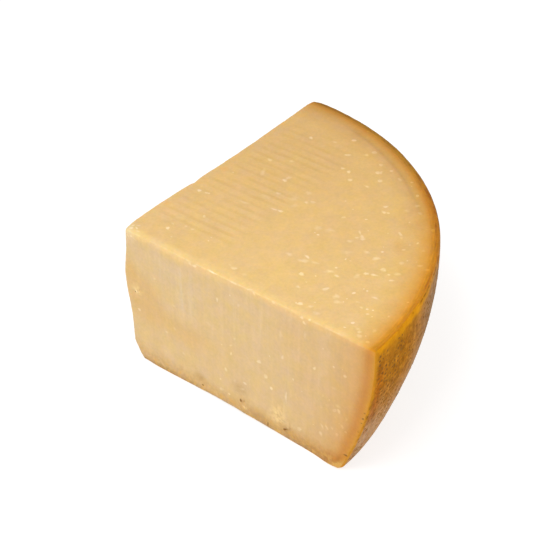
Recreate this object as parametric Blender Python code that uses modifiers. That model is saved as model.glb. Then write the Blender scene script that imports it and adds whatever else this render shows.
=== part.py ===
"""An eighth of a wheel of hard grating cheese, as one solid piece.

The wheel stands on its flat rind, and its side swells like a barrel's. A level cut through the middle
of the wheel makes the top of the piece, and two upright cuts that meet near the axis make its two flat
sides. The base and the barrel side keep their rind. The tip points to -X -Y, the front cut runs along
+X and the other cut along +Y. Units are metres, +Z is up, and the base lies on Z = 0.
"""

import math

import bmesh
import bpy
from mathutils import Vector

# Driving dimensions.
WHEEL_RADIUS = 0.210  # the barrel's widest ring, at the level cut
SECTOR = math.radians(91.5)  # between the two upright cuts, which meet on the wheel's axis
TIP_HEIGHT = 0.107  # where the two upright cuts meet
RISE_X = 0.028  # the level cut climbs this much for each metre along X
RISE_Y = -0.007  # and along Y
WIDEST_HEIGHT = TIP_HEIGHT + (RISE_X + RISE_Y) * WHEEL_RADIUS / 2
SWELL_RADIUS = 0.255  # curvature of the barrel side, seen from the front

# Unevenness of the hand-made cuts.
LEFT_LEAN = 0.044  # the cut along +Y leans in this much for each metre down
LEAN_REACH = 0.200  # the lean has faded this far from the tip
TIP_SWELL = 0.0036  # the tip edge bulges out this far
TIP_SWELL_HEIGHT = 0.065
TIP_SWELL_SPREAD = 0.023
TIP_SWELL_REACH = 0.070  # it has faded this far from the tip
LEFT_WAVE = 0.0009  # slow waves over the cut along +Y
FRONT_WAVE = 0.0004  # and over the front cut
WAVE_LENGTH = 0.092
WORN_CORNER = 0.0030  # the tip's bottom corner is worn back this far
WORN_HEIGHT = 0.022  # from this height down
WORN_REACH = 0.034  # and as far as this from the tip

# Rounding of the edges.
CUT_EDGE = 0.0030  # between two cuts
RIND_EDGE = 0.0016  # between a cut and the barrel side
BASE_EDGE = 0.0022  # between a cut and the base
BASE_RIM = 0.0038  # between the barrel side and the base
WIDEST_EDGE = max(CUT_EDGE, RIND_EDGE, BASE_EDGE, BASE_RIM)
EDGE_SEGMENTS = 3

# How finely the faces are divided.
PLAN_CUTS = 26
HEIGHT_CUTS = 14
PACKING = 1.15  # above 1 the divisions crowd towards the tip and the base, where the wear is

CHEESE_COLOUR = (0.80, 0.55, 0.25, 1.0)
CHEESE_ROUGHNESS = 0.45


def top_height(x, y):
    """Height of the level cut above the base."""
    return TIP_HEIGHT + RISE_X * x + RISE_Y * y


def barrel_radius(z):
    """Radius of the wheel at a height, which swells in a circular arc."""
    return WHEEL_RADIUS - (WIDEST_HEIGHT - z) ** 2 / (2 * SWELL_RADIUS)


def wedge_point(u, v, w):
    """Maps the unit cube to the sharp-edged wedge: u runs along the front cut, v along the other and w up.

    The square in plan becomes a quarter disc: its sides u = 1 and v = 1 share the barrel side between them.
    """
    a = u * math.sqrt(1 - v * v / 2)
    b = v * math.sqrt(1 - u * u / 2)
    share = math.hypot(a, b)
    angle = math.atan2(b, a) * SECTOR / (math.pi / 2)
    run = share * WHEEL_RADIUS
    z = w * top_height(run * math.cos(angle), run * math.sin(angle))
    run = share * barrel_radius(z)
    return Vector((run * math.cos(angle), run * math.sin(angle), z))


def bump(distance, spread):
    """A smooth hump, 1 at distance 0."""
    return math.exp(-((distance / spread) ** 2))


def fade(distance, length):
    """1 at distance 0, falling smoothly to 0 at length."""
    t = min(1.0, max(0.0, distance / length))
    return 1 - t * t * (3 - 2 * t)


def unevenness(point):
    """How far the cuts stray from flat, as a shift of a point of the wedge."""
    x, y, z = point
    lean = LEFT_LEAN * (TIP_HEIGHT - z) * max(0.0, 1 - x / LEAN_REACH)
    swell = TIP_SWELL * bump(z - TIP_SWELL_HEIGHT, TIP_SWELL_SPREAD) * fade(y, TIP_SWELL_REACH)
    turn = 2 * math.pi / WAVE_LENGTH
    wave_x = LEFT_WAVE * math.sin(turn * y + 2.0) * math.cos(turn * z * 0.6)
    wave_y = FRONT_WAVE * math.sin(turn * x + 0.6) * math.cos(turn * z * 0.5 + 0.5)
    shift = Vector((0.0, 0.0, 0.0))
    shift.x = lean - (swell + wave_x) * fade(x, TIP_SWELL_REACH)
    shift.y = -wave_y * fade(y, TIP_SWELL_REACH)
    worn = WORN_CORNER * max(0.0, 1 - z / WORN_HEIGHT) ** 2 * fade(math.hypot(x, y), WORN_REACH)
    shift += worn * Vector((1.0, 1.0, 0.0)).normalized()
    return shift


def divide(bm, axis, cuts):
    """Cuts every edge that runs along one axis into equal lengths."""
    others = [i for i in range(3) if i != axis]
    along = [
        edge
        for edge in bm.edges
        if all(abs(edge.verts[0].co[i] - edge.verts[1].co[i]) < 1e-6 for i in others)
    ]
    bmesh.ops.subdivide_edges(bm, edges=along, cuts=cuts, use_grid_fill=True)


def sides_of(co):
    """The sides of the unit cube that a point lies on."""
    names = (("tip_left", "side"), ("front", "side"), ("base", "top"))
    return {
        pair[high]
        for value, pair in zip(co, names)
        for high in (0, 1)
        if abs(value - high) < 1e-6
    }


def edge_rounding(edge):
    """Rounding of a grid edge: 0 unless it lies where two different faces of the cheese meet."""
    shared = sides_of(edge.verts[0].co) & sides_of(edge.verts[1].co)
    if len(shared) < 2:
        return 0.0
    if "base" in shared:
        return BASE_RIM if "side" in shared else BASE_EDGE
    if "side" in shared:
        return RIND_EDGE
    return CUT_EDGE


def make_wedge_mesh():
    """A divided cube, bent into the wedge, with the rounding of each edge as its bevel weight."""
    bm = bmesh.new()
    bmesh.ops.create_cube(bm, size=1.0)
    bmesh.ops.translate(bm, verts=bm.verts, vec=(0.5, 0.5, 0.5))
    for axis, cuts in enumerate((PLAN_CUTS, PLAN_CUTS, HEIGHT_CUTS)):
        divide(bm, axis, cuts)
    weights = bm.edges.layers.float.new("bevel_weight_edge")
    for edge in bm.edges:
        edge[weights] = edge_rounding(edge) / WIDEST_EDGE
    for vert in bm.verts:
        point = wedge_point(*(max(0.0, share) ** PACKING for share in vert.co))
        vert.co = point + unevenness(point)
    mesh = bpy.data.meshes.new("cheese_chunk")
    bm.to_mesh(mesh)
    bm.free()
    return mesh


def centre_on_base(mesh):
    """Moves the mesh so that the middle of its base box is the origin."""
    xs, ys, zs = zip(*(vert.co for vert in mesh.vertices))
    middle = Vector(((min(xs) + max(xs)) / 2, (min(ys) + max(ys)) / 2, min(zs)))
    for vert in mesh.vertices:
        vert.co -= middle


def make_cheese_material():
    material = bpy.data.materials.new("cheese")
    material.use_nodes = True
    shader = material.node_tree.nodes["Principled BSDF"]
    shader.inputs["Base Color"].default_value = CHEESE_COLOUR
    shader.inputs["Roughness"].default_value = CHEESE_ROUGHNESS
    shader.inputs["Metallic"].default_value = 0.0
    return material


def make_chunk(collection):
    mesh = make_wedge_mesh()
    centre_on_base(mesh)
    mesh.materials.append(make_cheese_material())
    chunk = bpy.data.objects.new("cheese_chunk", mesh)
    collection.objects.link(chunk)
    bevel = chunk.modifiers.new("rounded edges", "BEVEL")
    bevel.limit_method = "WEIGHT"
    bevel.width = WIDEST_EDGE
    bevel.segments = EDGE_SEGMENTS
    mesh.shade_smooth()
    return chunk


def main():
    for obj in list(bpy.data.objects):
        bpy.data.objects.remove(obj)
    collection = bpy.data.collections.new("cheese_chunk")
    bpy.context.scene.collection.children.link(collection)
    make_chunk(collection)


main()
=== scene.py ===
import math
from random import Random
from types import SimpleNamespace

import bmesh
import bpy
from mathutils import Matrix, Quaternion, Vector
from mathutils.bvhtree import BVHTree


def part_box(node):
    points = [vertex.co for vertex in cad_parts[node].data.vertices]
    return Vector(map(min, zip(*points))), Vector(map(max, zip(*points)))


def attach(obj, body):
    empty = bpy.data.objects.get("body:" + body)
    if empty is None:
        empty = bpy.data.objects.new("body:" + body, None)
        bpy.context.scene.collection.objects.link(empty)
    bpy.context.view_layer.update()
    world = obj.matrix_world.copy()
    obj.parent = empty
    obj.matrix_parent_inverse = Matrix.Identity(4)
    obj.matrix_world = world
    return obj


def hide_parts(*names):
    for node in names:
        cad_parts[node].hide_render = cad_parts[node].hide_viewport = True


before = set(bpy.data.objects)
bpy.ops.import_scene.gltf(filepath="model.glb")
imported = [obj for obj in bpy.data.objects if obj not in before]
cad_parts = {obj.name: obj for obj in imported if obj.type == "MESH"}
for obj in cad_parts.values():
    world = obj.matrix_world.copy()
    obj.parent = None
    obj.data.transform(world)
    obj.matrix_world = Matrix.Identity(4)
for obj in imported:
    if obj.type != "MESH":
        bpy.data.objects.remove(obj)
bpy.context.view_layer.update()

# Lengths are metres. Every plan and pattern below is measured from the tip, the foot of the wheel's
# axis: the front cut runs from it along +X, the left cut along +Y.
wheel = {
    "Wheel radius": 0.21,  # the widest ring, at the level cut
    "Sector": math.radians(91.5),
    "Tip height": 0.107,
    "Rise along X": 0.028,  # slope of the level cut
    "Rise along Y": -0.007,
    "Swell radius": 0.255,  # curvature of the barrel side
}
low, high = (Vector(corner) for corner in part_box("cheese_chunk"))
tip = Vector((high.x - wheel["Wheel radius"], high.y - wheel["Wheel radius"], low.z))


class Wire:
    # one socket of a shader or geometry tree: a sum written on it adds its Math nodes
    def __init__(self, tree, socket=None):
        self.tree = tree
        self.socket = socket

    def add(self, kind, settings=None, values=(), out=0):
        node = self.tree.nodes.new(kind)
        for name, value in (settings or {}).items():
            if name == "stops":
                setStops(node.color_ramp, value)
            else:
                setattr(node, name, value)
        for key, value in values.items() if isinstance(values, dict) else enumerate(values):
            if isinstance(value, Wire):
                self.tree.links.new(value.socket, node.inputs[key])
            else:
                node.inputs[key].default_value = value
        if isinstance(out, tuple):
            return [Wire(self.tree, node.outputs[name]) for name in out]
        return Wire(self.tree, node.outputs[out] if len(node.outputs) else None)

    def maths(self, operation, *values):
        return self.add("ShaderNodeMath", {"operation": operation}, values)

    def __add__(self, other):
        return self.maths("ADD", self, other)

    def __sub__(self, other):
        return self.maths("SUBTRACT", self, other)

    def __rsub__(self, other):
        return self.maths("SUBTRACT", other, self)

    def __mul__(self, other):
        return self.maths("MULTIPLY", self, other)

    def __truediv__(self, other):
        return self.maths("DIVIDE", self, other)

    def __rtruediv__(self, other):
        return self.maths("DIVIDE", other, self)

    def __neg__(self):
        return self.maths("MULTIPLY", self, -1)

    __radd__ = __add__
    __rmul__ = __mul__


def setStops(ramp, stops):
    # stops are (place, colour) pairs
    while len(ramp.elements) > 1:
        ramp.elements.remove(ramp.elements[-1])
    for number, (place, colour) in enumerate(stops):
        element = ramp.elements[0] if number == 0 else ramp.elements.new(place)
        element.position = place
        element.color = (*colour, 1)


def sine(angle):
    return angle.maths("SINE", angle)


def cosine(angle):
    return angle.maths("COSINE", angle)


def root(value):
    return value.maths("SQRT", value)


def square(value):
    return value * value


def atLeast(value, floor):
    return value.maths("MAXIMUM", value, floor)


def atMost(value, ceiling):
    return value.maths("MINIMUM", value, ceiling)


def length(a, b):
    return root(square(a) + square(b))


def clamped(value):
    return atMost(atLeast(value, 0), 1)


def eased(value, start, end, first, last):
    settings = {"interpolation_type": "SMOOTHSTEP"}
    return value.add("ShaderNodeMapRange", settings, (value, start, end, first, last))


def fade(value, full, gone):
    # 1 up to full, falling smoothly to 0 at gone
    return eased(value, full, gone, 1, 0)


def rise(value, none, full):
    return eased(value, none, full, 0, 1)


def hump(value, spread):
    # 1 at 0, falling like a bell
    return value.maths("EXPONENT", -square(value / spread))


def humps(value, rows):
    # a row for each hump: its middle, spread and height
    return sum(hump(value - middle, spread) * height for middle, spread, height in rows)


def cornerHump(a, b, c, spread):
    # 1 where three faces meet, from the depths below them
    return hump(root(square(a) + square(b) + square(c)), spread)


def between(share, first, second):
    return first + (second - first) * share


def split(vector):
    return vector.add("ShaderNodeSeparateXYZ", {}, (vector,), ("X", "Y", "Z"))


def join(start, x, y, z):
    return start.add("ShaderNodeCombineXYZ", {}, (x, y, z))


def vectors(operation, first, second):
    return first.add("ShaderNodeVectorMath", {"operation": operation}, {0: first, 1: second})


def scaled(vector, share):
    return vector.add("ShaderNodeVectorMath", {"operation": "SCALE"}, {0: vector, "Scale": share})


def noise(place, scale, detail, seed, roughness=0.5):
    # swings about 0, mostly within a quarter of it; seed picks another pattern
    values = {"Vector": place, "W": seed * 7.3, "Scale": scale, "Detail": detail, "Roughness": roughness}
    return place.add("ShaderNodeTexNoise", {"noise_dimensions": "4D"}, values) - 0.5


def newObject(name, data):
    item = bpy.data.objects.new(name, data)
    bpy.context.scene.collection.objects.link(item)
    return item


# Geometry trees: the sizes in a dictionary become the named inputs of the tree.

def newTree(name, sizes):
    tree = bpy.data.node_groups.new(name, "GeometryNodeTree")
    tree.interface.new_socket("Geometry", in_out="INPUT", socket_type="NodeSocketGeometry")
    tree.interface.new_socket("Geometry", in_out="OUTPUT", socket_type="NodeSocketGeometry")
    kinds = {int: "NodeSocketInt", float: "NodeSocketFloat", Vector: "NodeSocketVector"}
    for inputName, value in sizes.items():
        tree.interface.new_socket(inputName, in_out="INPUT", socket_type=kinds[type(value)])
    given = tree.nodes.new("NodeGroupInput")
    inputs = {inputName: Wire(tree, given.outputs[inputName]) for inputName in ("Geometry", *sizes)}
    return tree, Wire(tree), inputs


def finishTree(tree, geometry, material):
    realized = geometry.add("GeometryNodeRealizeInstances", {}, (geometry,))
    painted = realized.add("GeometryNodeSetMaterial", {}, {"Geometry": realized, "Material": material})
    result = tree.nodes.new("NodeGroupOutput")
    tree.links.new(painted.socket, result.inputs[0])


def runTree(name, mesh, tree, sizes, material):
    # gives the tree's result back as a plain mesh
    carrier = newObject(name, mesh)
    modifier = carrier.modifiers.new("form", "NODES")
    modifier.node_group = tree
    for item in tree.interface.items_tree:
        if item.in_out == "INPUT" and item.name in sizes:
            modifier[item.identifier] = sizes[item.name]
    evaluated = carrier.evaluated_get(bpy.context.evaluated_depsgraph_get())
    carrier.data = bpy.data.meshes.new_from_object(evaluated)
    carrier.modifiers.remove(modifier)
    carrier.data.name = name
    carrier.data.materials.clear()
    carrier.data.materials.append(material)
    return carrier


def moveTo(geometry, position):
    return geometry.add("GeometryNodeSetPosition", {}, {"Geometry": geometry, "Position": position})


def moveBy(geometry, offset):
    return geometry.add("GeometryNodeSetPosition", {}, {"Geometry": geometry, "Offset": offset})


# The chunk: a cube bent into the wedge, its edges rounded, then worn, dented and leaned.

chunkSizes = {
    **wheel,
    "Plan divisions": 177,
    "Height divisions": 89,
    "Crowding": 0.45,  # how much the divisions crowd towards the edges
    "Cut edge": 0.0024,  # rounding between two cuts
    "Front edge swell": 0.0012,  # and how much more above the front cut, near the tip
    "Left edge less": 0.0006,  # and how much less above the left cut, near the tip
    "Rind edge": 0.0014,  # between a cut and the barrel side
    "Base edge": 0.0022,  # between the left cut and the base
    "Base edge least": 0.0006,  # between the front cut and the base, at its ends
    "Base edge swell": 0.0027,  # and how much more along its middle
    "Base rim": 0.004,  # between the barrel side and the base
    "Front rim share": 0.3,  # of that rounding, near the front cut
    "Least edge": 0.0004,
    "Edge wear": 0.8,  # share by which the rounding wanders
    "Edge lumps": 0.0009,
    "Edge chips": 0.002,  # depth of the small chips along the edges
    "Tip chip": 0.0006,  # extra rounding of the top corner at the tip
    "Back chip": 0.0026,
    "Foot chip": 0.002,
    "Left notch": 0.0016,
    "Notch place": 0.0715,  # along Y
    "Left lean": 0.048,  # the left cut leans in this much for each metre down
    "Lean reach": 0.2,
    "Tip bulge": 0.0045,
    "Tip bulge height": 0.065,
    "Tip bulge spread": 0.023,
    "Tip bulge reach": 0.07,
    "Left wave": 0.0009,
    "Front wave": 0.0004,
    "Wave length": 0.092,
    "Worn corner": 0.0085,
    "Worn height": 0.0135,
    "Worn reach": 0.025,
    "Left hollow": 0.0014,  # the left cut wanders in here, and out behind it
    "Foot flare": 0.0015,  # the front cut's bottom corner stands out
    "Corner droop": 0.0011,  # the level cut drops at the front of the rind
    "Chatter depth": 0.0002,  # ripples that the knife left on the level cut
    "Chatter pitch": 0.0075,
    "Crease place": 0.0125,  # inside the rind
    "Crease depth": 0.0003,
    "Dent depth": 0.0002,
    "Slow waves": 0.0005,
    "Foot hollows": 0.0008,  # where the cut ran out through the base rind
    "Foot crumbs": 0.0011,
    "Patch lumps": 0.0015,
    "Wire marks": 0.00016,  # upright streaks on the upright cuts
    "Rim lip": 0.0003,  # the rind stands this proud of the level cut
    "Rind dents": 0.0007,
    "Rind belly": 0.0009,  # the side swells a little more than its arc
    "Grain": 0.00009,
    "Tip place": tip,
}
# rows of humps: the middle, spread and height of each
baseWear = ((0.088, 0.029, 1.0), (0.121, 0.02, 0.55))  # along X
bellyHumps = ((0.078, 0.03, 1.0), (0.047, 0.018, 0.35), (0.006, 0.009, 0.12))  # along Z
faceNames = ("top", "base", "front", "left", "rind")


def topHeight(x, y, given):
    return given["Tip height"] + given["Rise along X"] * x + given["Rise along Y"] * y


def widestHeight(given):
    # height of the barrel's widest ring
    middle = given["Wheel radius"] / 2
    return topHeight(middle, middle, given)


def barrelRadius(z, given):
    # radius of the wheel at a height
    drop = widestHeight(given) - z
    return given["Wheel radius"] - square(drop) / (given["Swell radius"] * 2)


def bellyAt(z, most):
    # how far the side swells beyond its arc
    return humps(z, bellyHumps) * most


def angleRound(x, y):
    # from the front cut
    return x.maths("ARCTAN2", y, x)


def wedgePoint(place, given):
    # bends the unit cube into the sharp wedge: X runs along the front cut, Y along the left one, Z up
    u, v, w = (
        t + 0.5 - given["Crowding"] * sine((t + 0.5) * 2 * math.pi) / (2 * math.pi)
        for t in split(place)
    )
    a = u * root(1 - v * v / 2)
    b = v * root(1 - u * u / 2)
    share = length(a, b)
    angle = angleRound(a, b) * given["Sector"] / (math.pi / 2)
    run = share * given["Wheel radius"]
    z = w * topHeight(run * cosine(angle), run * sine(angle), given)
    run = share * barrelRadius(z, given)
    return join(place, run * cosine(angle), run * sine(angle), z)


def depthsBelow(place, given):
    # how deep a point lies below each of the five faces, with the way in from that face
    x, y, z = split(place)
    out = atLeast(length(x, y), 1e-5)
    steep = (widestHeight(given) - z) / given["Swell radius"]
    across = 1 / root(square(steep) + 1)
    leftX, leftY = sine(given["Sector"]), -cosine(given["Sector"])
    ways = {
        "top": (-given["Rise along X"], -given["Rise along Y"], -1.0),
        "base": (0.0, 0.0, 1.0),
        "front": (0.0, 1.0, 0.0),
        "left": (leftX, leftY, 0.0),
        "rind": (-(x / out) * across, -(y / out) * across, steep * across),
    }
    depths = {
        "top": topHeight(x, y, given) - z,
        "base": z,
        "front": y,
        "left": x * leftX + y * leftY,
        "rind": (barrelRadius(z, given) - out) * across,
    }
    return {name: (depths[name], join(place, *ways[name])) for name in faceNames}


def edgeRadius(place, given):
    # the rounding wanted at a point, with wear and small chips
    x, y, z = split(place)
    depths = depthsBelow(place, given)
    top, base, front, left, rind = (depths[name][0] for name in faceNames)
    nearRind, nearBase = fade(rind, 0.005, 0.016), fade(base, 0.005, 0.016)
    nearFront = fade(front, 0.004, 0.012)
    frontFoot = given["Base edge least"] + humps(x, baseWear) * given["Base edge swell"]
    foot = between(nearFront, given["Base edge"], frontFoot)
    frontRim = given["Base rim"] * given["Front rim share"]
    rim = between(fade(front, 0.015, 0.06), given["Base rim"], frontRim)
    byTop = fade(top, 0.004, 0.01)
    swell = fade(x, 0.045, 0.085) * nearFront * byTop * given["Front edge swell"]
    radius = between(nearRind, given["Cut edge"] + swell, given["Rind edge"])
    slim = fade(y, 0.04, 0.06) * fade(left, 0.004, 0.01) * byTop
    radius = radius - slim * given["Left edge less"]
    radius = between(nearBase, radius, between(nearRind, foot, rim))
    wear = noise(place, 60, 3, 4) * given["Edge wear"] + 1
    lumps = noise(place, 210, 2, 15) * given["Edge lumps"] * (1 - nearBase)
    chips = rise(noise(place, 120, 2, 17), 0.08, 0.3) * given["Edge chips"] * (1 - nearRind)
    chips = chips * (1 - nearBase * 0.6) + cornerHump(x, y, top, 0.0075) * given["Tip chip"]
    chips = chips + cornerHump(left, rind, top, 0.007) * given["Back chip"]
    chips = chips + cornerHump(front, rind, base, 0.0065) * given["Foot chip"]
    notch = hump(y - given["Notch place"], 0.003) * fade(left, 0.003, 0.008) * fade(top, 0.003, 0.008)
    return atLeast(radius * wear + lumps, given["Least edge"]) + chips + notch * given["Left notch"]


def roundedPoint(place, given):
    # draws the point in to where every face is one radius away, then back out by that radius
    radius = edgeRadius(place, given)
    inner = place
    for lap in range(3):
        for name in faceNames:
            below, inwards = depthsBelow(inner, given)[name]
            inner = vectors("ADD", inner, scaled(inwards, atLeast(radius - below, 0)))
    away = vectors("SUBTRACT", place, inner)
    outwards = away.add("ShaderNodeVectorMath", {"operation": "NORMALIZE"}, (away,))
    return vectors("ADD", inner, scaled(outwards, radius))


dentSizes = {
    "x": 0.1566,
    "y": 0.0948,
    "turn": 2.26,
    "halfLength": 0.0095,
    "halfWidth": 0.004,
}


def dentShare(x, y):
    # a long soft dent in the level cut
    runX, runY = math.cos(dentSizes["turn"]), math.sin(dentSizes["turn"])
    x, y = x - dentSizes["x"], y - dentSizes["y"]
    along, across = x * runX + y * runY, y * runX - x * runY
    return hump(along, dentSizes["halfLength"]) * hump(across, dentSizes["halfWidth"])


def chatterBand(x, y):
    # where the knife rippled: from the left edge to a third of the way across
    return fade(x, 0.06, 0.074) * rise(x, 0.001, 0.012) * rise(y, 0.012, 0.032) * fade(y, 0.156, 0.19)


def chatter(place, y):
    # ripples that run straight along X, swinging between -1 and 1
    wander = noise(place, 16, 2, 1) * 0.003 + noise(place, 70, 2, 1.5) * 0.0016
    crest = cosine((y + wander) * 2 * math.pi / chunkSizes["Chatter pitch"])
    return 0.45 - rise(crest, -0.4, 1) * 1.35


def chatterStrength(place):
    drawn = vectors("MULTIPLY", place, (0.35, 1, 1))
    return atLeast(noise(drawn, 75, 2, 2) * 3 + 0.75, 0.1)


def creaseShare(place, x, y):
    # a shallow crease inside the rind, towards the back
    angle = angleRound(x, y)
    reach = rise(angle, math.radians(42), math.radians(54))
    reach = reach * fade(angle, math.radians(72), math.radians(82))
    depth = wheel["Wheel radius"] - length(x, y) + noise(place, 30, 1, 18) * 0.003
    return hump(depth - chunkSizes["Crease place"], 0.0016) * reach


def topRelief(place, given):
    x, y, z = split(place)
    relief = chatter(place, y) * chatterBand(x, y) * chatterStrength(place) * given["Chatter depth"]
    relief = relief - creaseShare(place, x, y) * given["Crease depth"]
    relief = relief - dentShare(x, y) * given["Dent depth"]
    out = length(x, y)
    relief = relief + noise(place, 260, 3, 49) * hump(out, 0.009) * given["Edge lumps"]
    rimDepth = barrelRadius(z, given) - out
    lip = hump(rimDepth - 0.0008, 0.0011) - hump(rimDepth - 0.003, 0.001) * 0.8
    relief = relief + lip * fade(y / out, 0.25, 0.8) * given["Rim lip"]
    relief = relief + noise(place, 14, 2, 3) * given["Slow waves"]
    return relief + noise(place, 230, 3, 5) * given["Grain"]


frontHoles = (
    # x, z, half width, half height, depth
    (0.102, 0.0117, 0.0009, 0.0014, 0.0018),
    (0.1392, 0.0067, 0.001, 0.001, 0.0014),
    (0.0674, 0.0055, 0.0008, 0.0006, 0.001),
    (0.1255, 0.004, 0.0005, 0.002, 0.0006),
    (0.1905, 0.0149, 0.0018, 0.0006, 0.0012),
    (0.0082, 0.057, 0.0008, 0.0007, 0.0006),
)
frontPatches = (
    # crumbled spots: hollows, and lumps where the depth is below 0
    (0.0655, 0.0112, 0.0048, 0.0036, 0.0009),
    (0.101, 0.0215, 0.006, 0.0055, 0.0006),
    (0.1345, 0.017, 0.0062, 0.0085, -0.0007),
    (0.118, 0.006, 0.0075, 0.003, 0.0006),
    (0.14, 0.008, 0.0035, 0.0035, 0.0006),
    (0.144, 0.012, 0.0007, 0.005, 0.0005),
    (0.1055, 0.008, 0.0022, 0.0018, -0.0005),
    (0.0095, 0.059, 0.004, 0.004, -0.0004),
)


def spotShare(x, z, spot):
    # a soft spot on the front cut: its middle, half width and half height come first in its row
    middleX, middleZ, wide, tall = spot[:4]
    return hump(x - middleX, wide) * hump(z - middleZ, tall)


def crumble(place, z, given):
    # hollows and lumps along the foot of an upright cut
    hollows = rise(noise(place, 55, 3, 19), 0.02, 0.25) * given["Foot hollows"]
    return (hollows + noise(place, 190, 3, 16) * given["Foot crumbs"]) * fade(z, 0.006, 0.015)


def dragMarks(place, drawn, given, strength, scale, seeds):
    # marks drawn out along the height, and slow waves
    marks = noise(drawn, scale, 3, seeds[0]) + noise(drawn, 240, 2, seeds[1]) * 0.6
    waves = noise(place, 12, 2, seeds[2]) * given["Slow waves"] * 1.6
    return marks * given["Wire marks"] * strength + waves


def frontRelief(place, given):
    x, y, z = split(place)
    relief = dragMarks(place, join(place, x, 0, z * 0.06), given, 1, 95, (6, 7, 8))
    for pit in frontHoles + frontPatches:
        relief = relief - spotShare(x, z, pit) * pit[-1]
    rough = noise(place, 210, 2, 50)
    for pit in frontPatches:
        relief = relief + spotShare(x, z, pit) * rough * given["Patch lumps"]
    return relief - crumble(place, z, given) + noise(place, 230, 3, 9) * given["Grain"]


def leftRelief(place, given):
    x, y, z = split(place)
    relief = dragMarks(place, join(place, 0.3, y, z * 0.06), given, 1.2, 80, (10, 7.5, 11))
    return relief - crumble(place, z, given) + noise(place, 230, 3, 12) * given["Grain"]


def rindRelief(place, given):
    x, y, z = split(place)
    broad = noise(place, 16, 3, 13) * given["Rind dents"] + bellyAt(z, given["Rind belly"])
    return broad + noise(place, 180, 3, 14) * given["Grain"] * 1.8


def shiftOfCuts(place, given):
    # lean and waves of the cuts, bulge of the tip edge and wear of its bottom corner
    x, y, z = split(place)
    lean = given["Left lean"] * (given["Tip height"] - z) * atLeast(1 - x / given["Lean reach"], 0)
    nearLeft = fade(x, 0, given["Tip bulge reach"])
    nearFront = fade(y, 0, given["Tip bulge reach"])
    bulge = given["Tip bulge"] * hump(z - given["Tip bulge height"], given["Tip bulge spread"]) * nearFront
    turn = 2 * math.pi / given["Wave length"]
    waveX = given["Left wave"] * sine(turn * y + 2) * cosine(turn * z * 0.6)
    waveY = given["Front wave"] * sine(turn * x + 0.6) * cosine(turn * z * 0.5 + 0.5)
    worn = atLeast(1 - z / given["Worn height"], 0)
    worn = worn * (worn * 0.2 + 0.8) * given["Worn corner"]
    worn = worn * fade(x, 0.003, given["Worn reach"]) * fade(y, 0.003, given["Worn reach"] * 2.5)
    hollow = hump(y - 0.128, 0.028) - rise(y, 0.15, 0.182) * 0.46
    shiftX = lean - (bulge + waveX) * nearLeft + worn + hollow * fade(x, 0, 0.06) * given["Left hollow"]
    flare = hump(x - 0.181, 0.012) * fade(z, 0, 0.018) * fade(y, 0, 0.015) * given["Foot flare"]
    droop = rise(x, 0.15, 0.205) * fade(y, 0, 0.06) * z / given["Tip height"] * given["Corner droop"]
    return join(place, shiftX, worn * 0.04 - waveY * nearFront - flare, -droop)


def flattenBase(mesh):
    # the flat of the base becomes one face
    bm = bmesh.new()
    bm.from_mesh(mesh)
    flat = [face for face in bm.faces if all(vert.co.z < tip.z + 1e-5 for vert in face.verts)]
    bmesh.ops.dissolve_faces(bm, faces=flat, use_verts=False)
    bmesh.ops.recalc_face_normals(bm, faces=bm.faces)
    bm.to_mesh(mesh)
    bm.free()


def buildChunk(material):
    tree, start, given = newTree("chunk form", chunkSizes)
    plan, tall = given["Plan divisions"], given["Height divisions"]
    counts = {"Vertices X": plan, "Vertices Y": plan, "Vertices Z": tall}
    cube = start.add("GeometryNodeMeshCube", {}, counts)
    place = start.add("GeometryNodeInputPosition")
    geometry = moveTo(cube, wedgePoint(place, given))
    geometry = moveTo(geometry, roundedPoint(place, given))
    depths = depthsBelow(place, given)
    reliefs = {"top": topRelief, "front": frontRelief, "left": leftRelief, "rind": rindRelief}
    push = None
    for name, relief in reliefs.items():
        below, inwards = depths[name]
        height = relief(place, given) * fade(below, 0.0008, 0.0045) * rise(depths["base"][0], 0, 0.003)
        part = scaled(inwards, -height)
        push = part if push is None else vectors("ADD", push, part)
    geometry = moveBy(geometry, push)
    geometry = moveBy(geometry, shiftOfCuts(place, given))
    geometry = moveBy(geometry, given["Tip place"])
    finishTree(tree, geometry, material)
    piece = runTree("cheese", bpy.data.meshes.new("cheese start"), tree, chunkSizes, material)
    flattenBase(piece.data)
    piece.data.shade_smooth()
    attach(piece, "root")
    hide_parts("cheese_chunk")
    print("chunk:", len(piece.data.polygons), "faces")
    return piece


# Materials

def newMaterial(name):
    material = bpy.data.materials.new(name)
    material.use_nodes = True
    material.node_tree.nodes.clear()
    return material, Wire(material.node_tree)


def placeFromTip(start):
    return vectors("SUBTRACT", start.add("ShaderNodeTexCoord", {}, (), "Object"), tuple(tip))


white = (1.0, 1.0, 1.0)


def asColour(value):
    return value if isinstance(value, Wire) else (*value, 1)


def mixed(share, first, second):
    settings = {"data_type": "RGBA", "blend_type": "MIX"}
    return share.add("ShaderNodeMix", settings, {0: share, 6: asColour(first), 7: asColour(second)}, 2)


def tinted(colour, tint):
    # the colour times the tint
    settings = {"data_type": "RGBA", "blend_type": "MULTIPLY"}
    return tint.add("ShaderNodeMix", settings, {0: 1, 6: asColour(colour), 7: asColour(tint)}, 2)


def washed(colour, share, tint):
    # the colour times the tint, or times the one of that name, where the share is 1
    tint = cheeseColours[tint] if isinstance(tint, str) else tint
    return tinted(colour, mixed(share, white, tint))


def ramped(share, stops):
    return share.add("ShaderNodeValToRGB", {"stops": stops}, (share,))


def surface(colour, roughness, normal, constants):
    # a shader whose constants sit on its own sockets
    values = {"Base Color": colour, "Roughness": roughness, "Normal": normal, **constants}
    return colour.add("ShaderNodeBsdfPrincipled", {}, values)


def bumped(height, distance):
    return height.add("ShaderNodeBump", {}, {"Strength": 1, "Distance": distance, "Height": height})


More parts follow.
